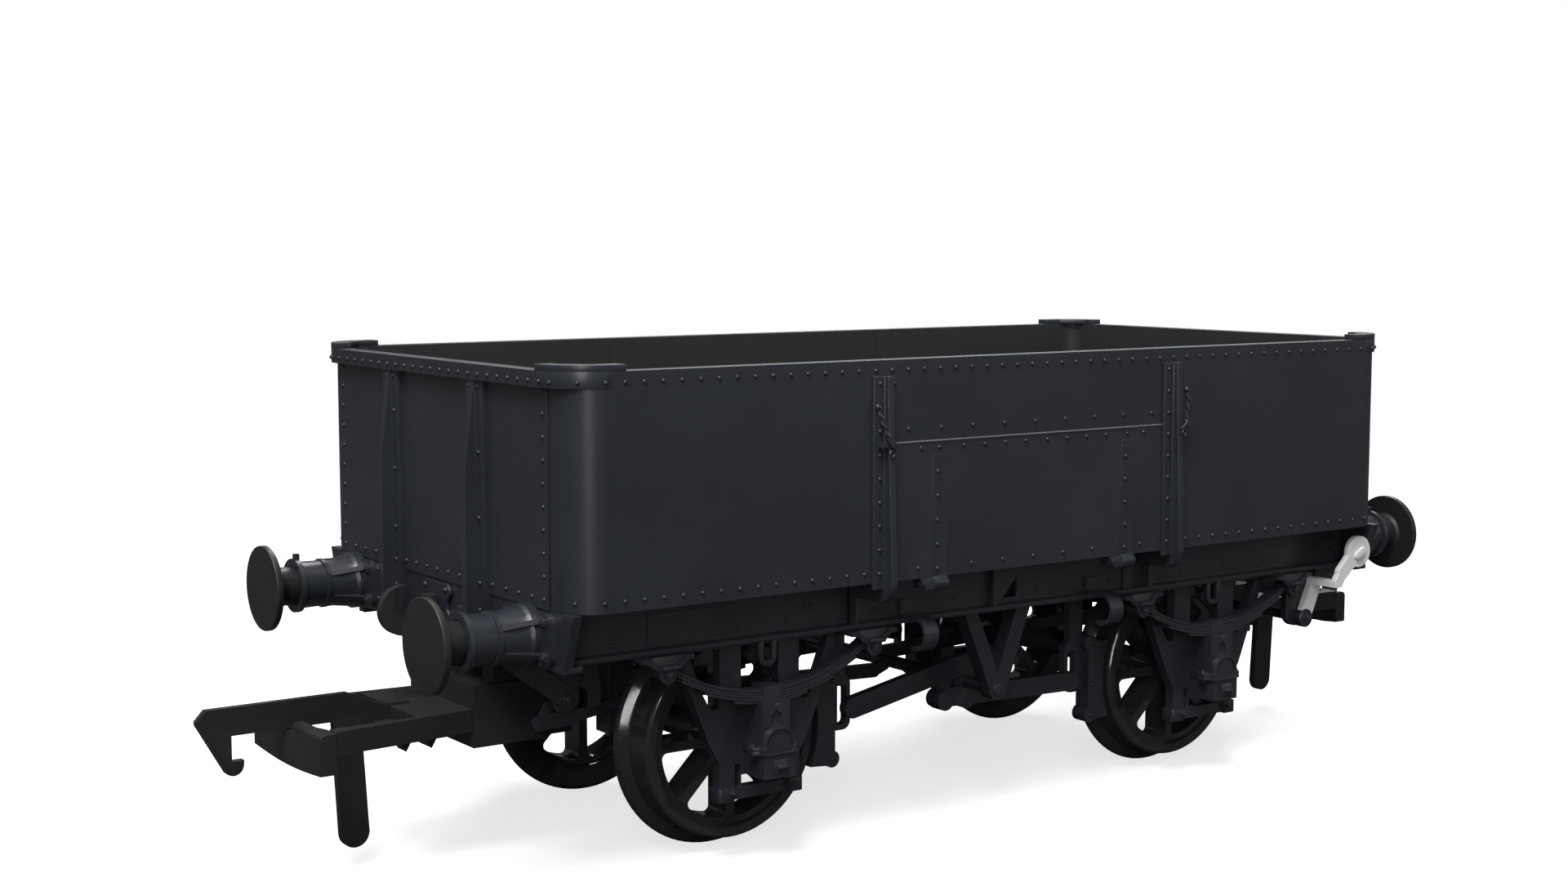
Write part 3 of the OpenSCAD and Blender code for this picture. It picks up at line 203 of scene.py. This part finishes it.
def painted(name, dark, light, edge, roughness, bump=0.004, metallic=0.0, specular=0.5):
    """Paint or blackening that varies at random from dark to light and carries painted shade that darkens
    it towards the bottom, with fine grain and paler worn edges.
    """
    material, tree, shader = new_material(name)
    coords = tree.nodes.new("ShaderNodeTexCoord").outputs["Object"]
    broad = noise(tree, 0.12, 3.0, 0.55, coords)
    fine = noise(tree, 6.0, 4.0, 0.6, coords)
    height = tree.nodes.new("ShaderNodeSeparateXYZ")
    tree.links.new(coords, height.inputs["Vector"])
    tone_and_painted_shade = tree.nodes.new("ShaderNodeMath")
    tone_and_painted_shade.operation = "MULTIPLY_ADD"
    tone_and_painted_shade.inputs[1].default_value = 0.5
    tree.links.new(map_range(tree, broad, 0.35, 0.65, 0, 1), tone_and_painted_shade.inputs[0])
    # Painted shade: the tone darkens towards the bottom of the wagon, from z 30 mm down to 12 mm.
    tree.links.new(map_range(tree, height.outputs["Z"], 12 * MM, 30 * MM, 0, 0.5), tone_and_painted_shade.inputs[2])
    tone = mix_colour(tree, tone_and_painted_shade.outputs["Value"], dark, light)
    geometry = tree.nodes.new("ShaderNodeNewGeometry")
    worn = map_range(tree, geometry.outputs["Pointiness"], 0.56, 0.66, 0.0, 0.15)
    colour = mix_colour(tree, worn, tone, edge)
    tree.links.new(colour, shader.inputs["Base Color"])
    low, high = roughness
    tree.links.new(map_range(tree, fine, 0.3, 0.7, low, high), shader.inputs["Roughness"])
    shader.inputs["Metallic"].default_value = metallic
    shader.inputs["Specular IOR Level"].default_value = specular
    relief = tree.nodes.new("ShaderNodeBump")
    relief.inputs["Strength"].default_value = 0.35
    relief.inputs["Distance"].default_value = bump * MM
    tree.links.new(fine, relief.inputs["Height"])
    tree.links.new(relief.outputs["Normal"], shader.inputs["Normal"])
    return material


PAINT = painted("grey_paint", (0.0150, 0.0178, 0.0232), (0.0235, 0.0272, 0.0345), (0.05, 0.055, 0.065),
                (0.32, 0.38), bump=0.002, specular=0.5)
INSIDE = painted("inside_black", (0.0190, 0.0190, 0.0190), (0.0240, 0.0240, 0.0240), (0.05, 0.05, 0.05),
                 (0.50, 0.60), specular=0.3)
BLACK = painted("black_metal", (0.013, 0.013, 0.013), (0.018, 0.018, 0.018), (0.06, 0.06, 0.06),
                (0.38, 0.48), specular=0.35)
PLASTIC = painted("black_plastic", (0.015, 0.015, 0.015), (0.020, 0.020, 0.020), (0.04, 0.04, 0.04),
                  (0.42, 0.55), specular=0.3)
AXLE = painted("dark_steel", (0.024, 0.024, 0.025), (0.032, 0.032, 0.033), (0.10, 0.10, 0.10),
               (0.34, 0.44), specular=0.4)
STEEL = painted("turned_steel", (0.30, 0.30, 0.31), (0.38, 0.38, 0.39), (0.55, 0.55, 0.55),
                (0.28, 0.40), metallic=1.0)
BRASS = painted("turned_brass", (0.50, 0.36, 0.14), (0.60, 0.44, 0.18), (0.8, 0.65, 0.35),
                (0.28, 0.38), metallic=1.0)
WHITE = painted("white_paint", (0.66, 0.66, 0.65), (0.74, 0.74, 0.73), (0.85, 0.85, 0.84),
                (0.35, 0.45))
# Paler paint for the door's top bead: a painted highlight for the light caught along that edge.
PAINTED_HIGHLIGHT = painted("door_edge_painted_highlight", (0.10, 0.105, 0.11), (0.14, 0.145, 0.15), (0.2, 0.2, 0.2),
               (0.25, 0.35), specular=0.5)
WHEEL = painted("wheel_black", (0.014, 0.014, 0.014), (0.020, 0.020, 0.020), (0.10, 0.10, 0.10),
                (0.10, 0.16), specular=0.6)

BY_SLOT = {"grey_body": PAINT, "black_plastic": PLASTIC, "blackened_metal": BLACK,
           "axle_steel": AXLE, "steel": STEEL, "brass": BRASS, "white_paint": WHITE,
           "interior_black": INSIDE}
SLOT_OF = {row["node"]: row["material_slot"] for row in frame["record"]["subparts"]}


def angle_shading(name, degrees):
    """Node group that marks the edges that stay sharp, so that flat faces shade flat."""
    group = bpy.data.node_groups.new(name, "GeometryNodeTree")
    group.interface.new_socket("Geometry", in_out="INPUT", socket_type="NodeSocketGeometry")
    group.interface.new_socket("Geometry", in_out="OUTPUT", socket_type="NodeSocketGeometry")
    start = group.nodes.new("NodeGroupInput")
    end = group.nodes.new("NodeGroupOutput")
    angle = group.nodes.new("GeometryNodeInputMeshEdgeAngle")
    over = group.nodes.new("FunctionNodeCompare")
    over.operation = "GREATER_THAN"
    over.inputs["B"].default_value = math.radians(degrees)
    sharpen = group.nodes.new("GeometryNodeSetShadeSmooth")
    sharpen.domain = "EDGE"
    sharpen.inputs["Shade Smooth"].default_value = False
    group.links.new(start.outputs["Geometry"], sharpen.inputs["Geometry"])
    group.links.new(angle.outputs["Unsigned Angle"], over.inputs["A"])
    group.links.new(over.outputs["Result"], sharpen.inputs["Selection"])
    group.links.new(sharpen.outputs["Geometry"], end.inputs["Geometry"])
    return group


ROUND_SHADING = angle_shading("round_shading", 48)
RIBBED_SHADING = angle_shading("ribbed_shading", 24)

SMALL_EDGE = 0.015
WIDE_EDGE = 0.05
SMALL_EDGED = ("top_rim", "tub_shell", "corner_caps", "drop_door", "axleboxes", "w_irons",
               "end_plate", "end_stanchions", "brake_pull_rods")
UNROUNDED = ("buffer_housings", "buffer_springs", "door_springs", "chassis_screws")


def soften_edges(node, width):
    """Joins flat faces and rounds the corners between them."""
    flat = node.modifiers.new("flat_faces", "DECIMATE")
    flat.decimate_type = "DISSOLVE"
    flat.angle_limit = math.radians(0.4)
    bevel = node.modifiers.new("soft_edges", "BEVEL")
    bevel.width = width * MM
    bevel.segments = 2
    bevel.limit_method = "ANGLE"
    bevel.angle_limit = math.radians(32)
    bevel.use_clamp_overlap = True


def dress_cad_node(name, node):
    """Gives a CAD node its paint, rounds its edges and shades its flat faces flat."""
    node.data.materials.clear()
    node.data.materials.append(WHEEL if name.startswith("wheel_") else BY_SLOT[SLOT_OF[name]])
    weld = node.modifiers.new("weld", "WELD")
    weld.merge_threshold = 1e-7
    if not name.startswith(UNROUNDED):
        soften_edges(node, SMALL_EDGE if name.startswith(SMALL_EDGED) else WIDE_EDGE)
    sharp = node.modifiers.new("sharp_edges", "NODES")
    sharp.node_group = RIBBED_SHADING if name.startswith("buffer_housings") else ROUND_SHADING
    smooth = node.modifiers.new("shading", "WEIGHTED_NORMAL")
    smooth.keep_sharp = True
    for face in node.data.polygons:
        face.use_smooth = True


for node_name, node_object in frame["nodes"].items():
    dress_cad_node(node_name, node_object)


# ---- Mesh kit: every shape is a closed skin over rings of points, in millimetres ----

X, Y, Z = Vector((1, 0, 0)), Vector((0, 1, 0)), Vector((0, 0, 1))


def side_axes(axis):
    """Two directions across an axis, the second upright where it can be."""
    axis = axis.normalized()
    up = Z if abs(axis.z) < 0.9 else X
    u = up.cross(axis).normalized()
    return u, axis.cross(u).normalized()


def ring(centre, axis, radius, count, turn=0.0):
    """Points round a circle across an axis."""
    u, v = side_axes(axis)
    return [Vector(centre) + radius * (math.cos(turn + 2 * math.pi * i / count) * u
                                       + math.sin(turn + 2 * math.pi * i / count) * v)
            for i in range(count)]


def skin(bm, rings, closed=False):
    """Joins rings of points with quads and caps both ends, or runs round if closed."""
    rows = [[bm.verts.new(point) for point in row] for row in rings]
    pairs = list(zip(rows, rows[1:]))
    if closed:
        pairs.append((rows[-1], rows[0]))
    for low, high in pairs:
        count = len(low)
        for i in range(count):
            j = (i + 1) % count
            bm.faces.new((low[i], low[j], high[j], high[i]))
    if not closed:
        bm.faces.new(reversed(rows[0]))
        bm.faces.new(rows[-1])


def spun(bm, centre, axis, profile, count=12, turn=0.0):
    """Solid of revolution from (distance along the axis, radius) pairs."""
    axis = axis.normalized()
    centre = Vector(centre)
    skin(bm, [ring(centre + along * axis, axis, radius, count, turn) for along, radius in profile])


def rivet(bm, centre, axis, radius=0.135):
    """Domed head, let a little way into the plate."""
    spun(bm, centre, axis, [(-0.04, radius), (0.01, radius), (0.5 * radius, 0.84 * radius),
                            (0.78 * radius, 0.5 * radius), (0.88 * radius, 0.12 * radius)], 10)


def bolt(bm, centre, axis, radius=0.24, turn=0.3):
    """Washer, hexagon nut and the rounded end of its bolt."""
    spun(bm, centre, axis, [(-0.04, 1.35 * radius), (0.04, 1.35 * radius), (0.05, 1.25 * radius)], 16)
    spun(bm, centre, axis, [(0.0, radius), (0.17, radius), (0.2, 0.86 * radius)], 6, turn)
    spun(bm, centre, axis, [(0.1, 0.5 * radius), (0.26, 0.5 * radius), (0.3, 0.3 * radius)], 10)


def box(bm, x, y, z):
    """Block between two values on each axis."""
    skin(bm, [[Vector((x[i], y[j], h)) for i, j in ((0, 0), (1, 0), (1, 1), (0, 1))] for h in z])


def slab(bm, outline, y):
    """XZ outline between two values of Y."""
    skin(bm, [[Vector((px, depth, pz)) for px, pz in outline] for depth in y])


def hoop(bm, centre, axis, radius, wire, count=14):
    """Closed ring of round wire."""
    u, v = side_axes(axis)
    axis = axis.normalized()
    rows = []
    for i in range(count):
        t = 2 * math.pi * i / count
        out = math.cos(t) * u + math.sin(t) * v
        rows.append([Vector(centre) + (radius + wire * math.cos(k * math.pi / 3)) * out
                     + wire * math.sin(k * math.pi / 3) * axis for k in range(6)])
    skin(bm, rows, closed=True)


def wire(bm, points, radius, count=8):
    """Round wire along a path of points."""
    points = [Vector(point) for point in points]
    rows = []
    for i, point in enumerate(points):
        ahead = points[min(i + 1, len(points) - 1)] - points[max(i - 1, 0)]
        rows.append(ring(point, ahead, radius, count))
    skin(bm, rows)


def finish_piece(name, bm, slot, material=None):
    """Turns the millimetre mesh into a named piece that rides on the wagon's body."""
    bmesh.ops.recalc_face_normals(bm, faces=bm.faces)
    bmesh.ops.scale(bm, vec=(MM, MM, MM), verts=bm.verts)
    mesh = bpy.data.meshes.new(name)
    bm.to_mesh(mesh)
    bm.free()
    for face in mesh.polygons:
        face.use_smooth = True
    mesh.set_sharp_from_angle(angle=math.radians(40))
    mesh.materials.append(material or BY_SLOT[slot])
    piece = bpy.data.objects.new(name, mesh)
    bpy.context.collection.objects.link(piece)
    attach(piece, ROOT)


def pair(names, build, slot="grey_body", material=None):
    """The same piece twice: as built, and turned half round about Z."""
    for turn, name in zip((0.0, math.pi), names):
        bm = bmesh.new()
        build(bm)
        bmesh.ops.rotate(bm, cent=(0, 0, 0), matrix=Matrix.Rotation(turn, 3, "Z"), verts=bm.verts)
        finish_piece(name, bm, slot, material=material)


def extent(node):
    """A CAD node's box in millimetres, as two corners."""
    low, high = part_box(node)
    return Vector(low) / MM, Vector(high) / MM


def steps(first, pitch, count):
    """Evenly spaced values."""
    return [first + pitch * i for i in range(count)]


# ---- Places read from the frame ----

rim_high = extent("top_rim")[1]
shell_low, shell_high = extent("tub_shell")
door_low, door_high = extent("drop_door_near")
web_low, web_high = extent("solebar_near")

SIDE = shell_low.y
END = extent("end_plate_a")[1].x
RIM_END = rim_high.x
RIM_RADIUS = 3.0
RIM_THICKNESS = 1.05
SHELL_RADIUS = 2.43
DOOR_FACE = SIDE - 0.06
STRAP_FACE = door_low.y
POST_FLANGE = SIDE - 0.2
END_POST_FLANGE = END + 0.3
WEB = -12.9
HEAD = extent("headstock_a")[1].x


# ---- Rivets ----

BOTTOM_ROW = 16.79
TOP_ROW = 28.45


def side_rivets(bm):
    """Rows along the top and bottom of a side, and above its door."""
    for x in steps(-29.96, 1.1824, 52):
        rivet(bm, (x, SIDE, TOP_ROW), -Y)
    for x in steps(-30.1, 1.222, 15) + steps(12.75, 1.2329, 15):
        rivet(bm, (x, SIDE, BOTTOM_ROW), -Y)
    for x in steps(-9.83, 2.424, 9):
        rivet(bm, (x, SIDE, 25.0), -Y)


def post_rivets(bm):
    """Two rows down the flange of each side post."""
    for x in (-12.05, -11.06, 10.88, 11.94):
        for z in steps(16.78, 1.3675, 9):
            rivet(bm, (x, POST_FLANGE, z), -Y)


def door_rivets(bm):
    """Rows along the door's edges and down its two hinge straps."""
    for x in (-8.95, -7.6, -5.74, -4.14, -2.52, -0.91, 0.8, 2.41, 4.02, 5.63, 7.46, 8.84):
        rivet(bm, (x, DOOR_FACE, 23.84), -Y)
    for x in [-9.12, 8.65] + steps(-5.08, 2.424, 5):
        rivet(bm, (x, DOOR_FACE, 16.81), -Y)
    for x in (-7.72, 7.29):
        for z in steps(16.7, 1.432, 5):
            rivet(bm, (x, STRAP_FACE, z), -Y)


def door_bead(bm):
    """Rounded edge along the top of the door, whose paler paint is a painted highlight."""
    wire(bm, [(x, DOOR_FACE, door_high.z) for x in (door_low.x + 0.1, 0.0, door_high.x - 0.1)], 0.06)


def end_rivets(bm):
    """End A's plate, rim and corners; the rows run across the wagon."""
    for y in steps(-13.62, 1.178, 24):
        rivet(bm, (RIM_END, y, 28.5), X)
    for y in (-13.1, 12.93):
        for z in steps(16.75, 1.2475, 10):
            rivet(bm, (END, y, z), X)
    for y in (-11.59, -10.07, -8.59, -6.95, -4.2, -2.84, -1.42, 0.0,
              1.42, 2.84, 4.2, 6.95, 8.59, 10.07, 11.59):
        rivet(bm, (END, y, BOTTOM_ROW - 0.03), X)
    rim_centre = Vector((RIM_END - RIM_RADIUS, rim_high.y - RIM_RADIUS, 0))
    body_centre = Vector((shell_high.x - SHELL_RADIUS, shell_high.y - SHELL_RADIUS, 0))
    for side in (-1, 1):
        for degrees in (22, 53):
            out = Vector((math.cos(math.radians(degrees)), side * math.sin(math.radians(degrees)), 0))
            centre = Vector((rim_centre.x, side * rim_centre.y, 28.47))
            rivet(bm, centre + RIM_RADIUS * out, out)
        out = Vector((math.cos(math.radians(38)), side * math.sin(math.radians(38)), 0))
        centre = Vector((body_centre.x, side * body_centre.y, BOTTOM_ROW - 0.02))
        rivet(bm, centre + SHELL_RADIUS * out, out)


def end_post_rivets(bm):
    """Rows down the flanges of the two end posts and on their feet."""
    many = (27.82, 25.72, 22.24, 18.74, 16.77)
    few = (27.81, 24.12, 20.44, 16.76)
    for y, rows in ((-4.99, many), (-6.02, few), (5.0, many), (6.02, few)):
        for z in rows:
            rivet(bm, (END_POST_FLANGE, y, z), X)
    for y in (-5.05, -6.0, 5.0, 5.97):
        rivet(bm, (END_POST_FLANGE, y, 15.23), X)


def headstock_rivets(bm):
    """Pairs beside the buffers, and larger ones on the draw hook's plate."""
    for y in (-8.55, 8.55):
        for z in (15.66, 13.85):
            rivet(bm, (HEAD, y, z), X)
    for y in (-1.35, 1.35):
        for z in (15.72, 13.85):
            rivet(bm, (HEAD + 0.25, y, z), X, 0.17)


pair(("side_rivets_near", "side_rivets_far"), side_rivets)
pair(("post_rivets_near", "post_rivets_far"), post_rivets)
pair(("door_rivets_near", "door_rivets_far"), door_rivets)
# The bead's paler paint is a painted highlight.
pair(("door_bead_near", "door_bead_far"), door_bead, material=PAINTED_HIGHLIGHT)
pair(("end_rivets_a", "end_rivets_b"), end_rivets)
pair(("end_post_rivets_a", "end_post_rivets_b"), end_post_rivets)
pair(("headstock_rivets_a", "headstock_rivets_b"), headstock_rivets)


# ---- Tub lining ----

def rounded_loop(half_x, half_y, radius, z, count=8):
    """Points round a rectangle with round corners."""
    points = []
    for quarter, (sx, sy) in enumerate(((1, 1), (-1, 1), (-1, -1), (1, -1))):
        centre = Vector((sx * (half_x - radius), sy * (half_y - radius), z))
        for i in range(count + 1):
            t = math.radians(90 * quarter + 90 * i / count)
            points.append(centre + radius * Vector((math.cos(t), math.sin(t), 0)))
    return points


def tub_lining(bm):
    """Dark skin over the tub's inner walls and floor, with a seam between its plates."""
    half_x, half_y, radius = RIM_END - RIM_THICKNESS, rim_high.y - RIM_THICKNESS, 1.35
    floor, brim = 18.1, rim_high.z - 0.12
    skin(bm, [rounded_loop(half_x - 0.005, half_y - 0.005, radius, floor + 0.005),
              rounded_loop(half_x - 0.005, half_y - 0.005, radius, brim),
              rounded_loop(half_x - 0.04, half_y - 0.04, radius, brim),
              rounded_loop(half_x - 0.04, half_y - 0.04, radius, floor + 0.04)])
    for side in (-1, 1):
        for x in (-11.5, 11.5):
            y = sorted((side * (half_y - 0.03), side * (half_y - 0.09)))
            box(bm, (x - 0.05, x + 0.05), y, (floor + 0.02, brim - 0.02))
        for y in (-11.9, 11.9):
            x = sorted((side * (half_x - 0.03), side * (half_x - 0.09)))
            box(bm, x, (y - 0.05, y + 0.05), (floor + 0.02, brim - 0.02))


lining_mesh = bmesh.new()
tub_lining(lining_mesh)
finish_piece("tub_lining", lining_mesh, "interior_black")


# ---- Solebars ----

def solebar_details(bm):
    """Rivets, stiffeners, a plain plate and a washer on the solebar's web."""
    small = 0.13
    plate_face = WEB - 0.18
    for x in (-27.8, -23.6, -19.7, -16.22, -12.15, -9.87, -3.68,
              3.06, 9.24, 10.7, 15.61, 19.6, 23.57, 27.6):
        rivet(bm, (x, WEB, 14.02), -Y, small)
    rivet(bm, (9.24, WEB, 14.82), -Y, small)
    for x, z in ((30.55, 15.4), (30.55, 14.3), (31.03, 15.34), (31.03, 14.28), (30.6, 14.85)):
        rivet(bm, (x, plate_face, z), -Y, small)
    flange = web_low.z + 0.3
    under = web_high.z - 0.3
    for x0, x1, out in ((-11.79, -10.77, 0.12), (10.33, 11.05, 0.12),
                        (30.3, 31.2, 0.2), (-31.2, -30.3, 0.2)):
        box(bm, (x0, x1), (WEB - out, WEB + 0.05), (flange, under))
    for x0, x1 in ((-11.79, -11.6), (12.0, 12.3)):
        box(bm, (x0, x1), (-13.65, WEB + 0.05), (flange, under))
    slab(bm, [(-0.95, under), (1.6, under), (1.6, under - 0.12), (-0.62, flange), (-0.95, flange)],
         (-13.36, -13.2))
    box(bm, (-25.6, -21.4), (WEB - 0.05, WEB + 0.05), (flange + 0.25, 15.3))
    spun(bm, (-14.55, WEB, 14.75), -Y, [(-0.02, 0.42), (0.05, 0.42), (0.06, 0.36)], 20)


pair(("solebar_details_near", "solebar_details_far"), solebar_details)
# Black disc in the washer: painted shade standing in for the dark inside of the hole.
pair(("solebar_hole_near", "solebar_hole_far"),
     lambda bm: spun(bm, (-14.55, WEB, 14.75), -Y, [(0.0, 0.2), (0.07, 0.2)], 16), "black_plastic")


# ---- Running gear ----

AXLES = (-18.0, 18.0)


def keeper_bolts(bm):
    """A bolt at each end of the keeper below each axlebox."""
    for axle in AXLES:
        for offset in (-2.05, 1.98):
            bolt(bm, (axle + offset, -13.03, 4.4), -Y, 0.17)


pair(("keeper_bolts_near", "keeper_bolts_far"), keeper_bolts)


def shoe_bolts(bm):
    """Pins that hold the brake shoes on their hangers."""
    for side in (-1, 1):
        for x, z in ((10.6, 9.24), (10.75, 6.95), (10.7, 6.45), (10.6, 4.4)):
            rivet(bm, (side * x, -9.8, z), -Y, 0.15)


pair(("shoe_bolts_near", "shoe_bolts_far"), shoe_bolts)


# ---- Buffers ----

BUFFER_Y = 11.3
BUFFER_Z = 14.66


def buffer_nuts(bm):
    """Four nuts on the base of each buffer housing."""
    for side in (-1, 1):
        for dy in (-2.15, 2.15):
            for dz in (-0.95, 0.95):
                bolt(bm, (HEAD + 0.4, side * BUFFER_Y + dy, BUFFER_Z + dz), X, 0.28, 0.5)


pair(("buffer_nuts_a", "buffer_nuts_b"), buffer_nuts)


# ---- Door chains and pins ----

def chain_and_pin(bm, x, outward):
    """Chain from the post down to a wedge and split ring at the door's top corner."""
    start = Vector((x - 0.45 * outward, POST_FLANGE - 0.12, 26.4))
    end = Vector((x + 0.1 * outward, POST_FLANGE - 0.5, 24.5))
    rivet(bm, start, -Y, 0.2)
    links = 7
    for i in range(links):
        t = (i + 0.5) / links
        place = start.lerp(end, t) + Vector((-0.12 * outward * math.sin(math.pi * t), -0.12, 0))
        axis = Vector((0.5, -1, 0.2)) if i % 2 else Vector((1, 0.5, 0.2))
        hoop(bm, place, axis, 0.13, 0.045, 10)
    box(bm, sorted((x - 0.5 * outward, x + 0.15 * outward)), (POST_FLANGE - 0.5, POST_FLANGE - 0.1),
        (24.1, 24.38))
    wire(bm, [(x - 0.1 * outward, POST_FLANGE - 0.62, 24.6), (x + 0.15 * outward, POST_FLANGE - 0.7, 24.2),
              (x + 0.45 * outward, POST_FLANGE - 0.55, 23.95)], 0.09)
    hoop(bm, (x + 0.2 * outward, POST_FLANGE - 0.62, 23.72), Vector((0.3, -1, 0)), 0.2, 0.05)


def door_chains(bm):
    chain_and_pin(bm, -11.85, 1)
    chain_and_pin(bm, 11.85, -1)


pair(("door_chains_near", "door_chains_far"), door_chains)


# ---- Brake gear ----

PIVOT = (27.33, 9.72)


def lever_boss(bm):
    """Dark boss and pin at the brake lever's pivot."""
    x, z = PIVOT
    spun(bm, (x, -12.92, z), -Y, [(0.0, 0.64), (0.54, 0.64), (0.6, 0.58)], 24)
    spun(bm, (x, -13.5, z), -Y, [(0.0, 0.24), (0.22, 0.24), (0.26, 0.16)], 14)


def quadrant_boss(bm):
    """Stepped boss on the ratchet quadrant, with a bolt above it."""
    x, z = PIVOT
    face = 7.2
    spun(bm, (x, face, z), Y, [(-0.02, 0.46), (0.06, 0.46), (0.1, 0.42)], 20)
    spun(bm, (x, face, z), Y, [(0.05, 0.3), (0.16, 0.3), (0.2, 0.24)], 16)
    spun(bm, (x, face, z), Y, [(0.1, 0.12), (0.26, 0.12), (0.28, 0.08)], 10)
    bolt(bm, (26.5, 6.85, 10.85), Y, 0.2)


pair(("lever_boss_near", "lever_boss_far"), lever_boss)
pair(("quadrant_boss_near", "quadrant_boss_far"), quadrant_boss)
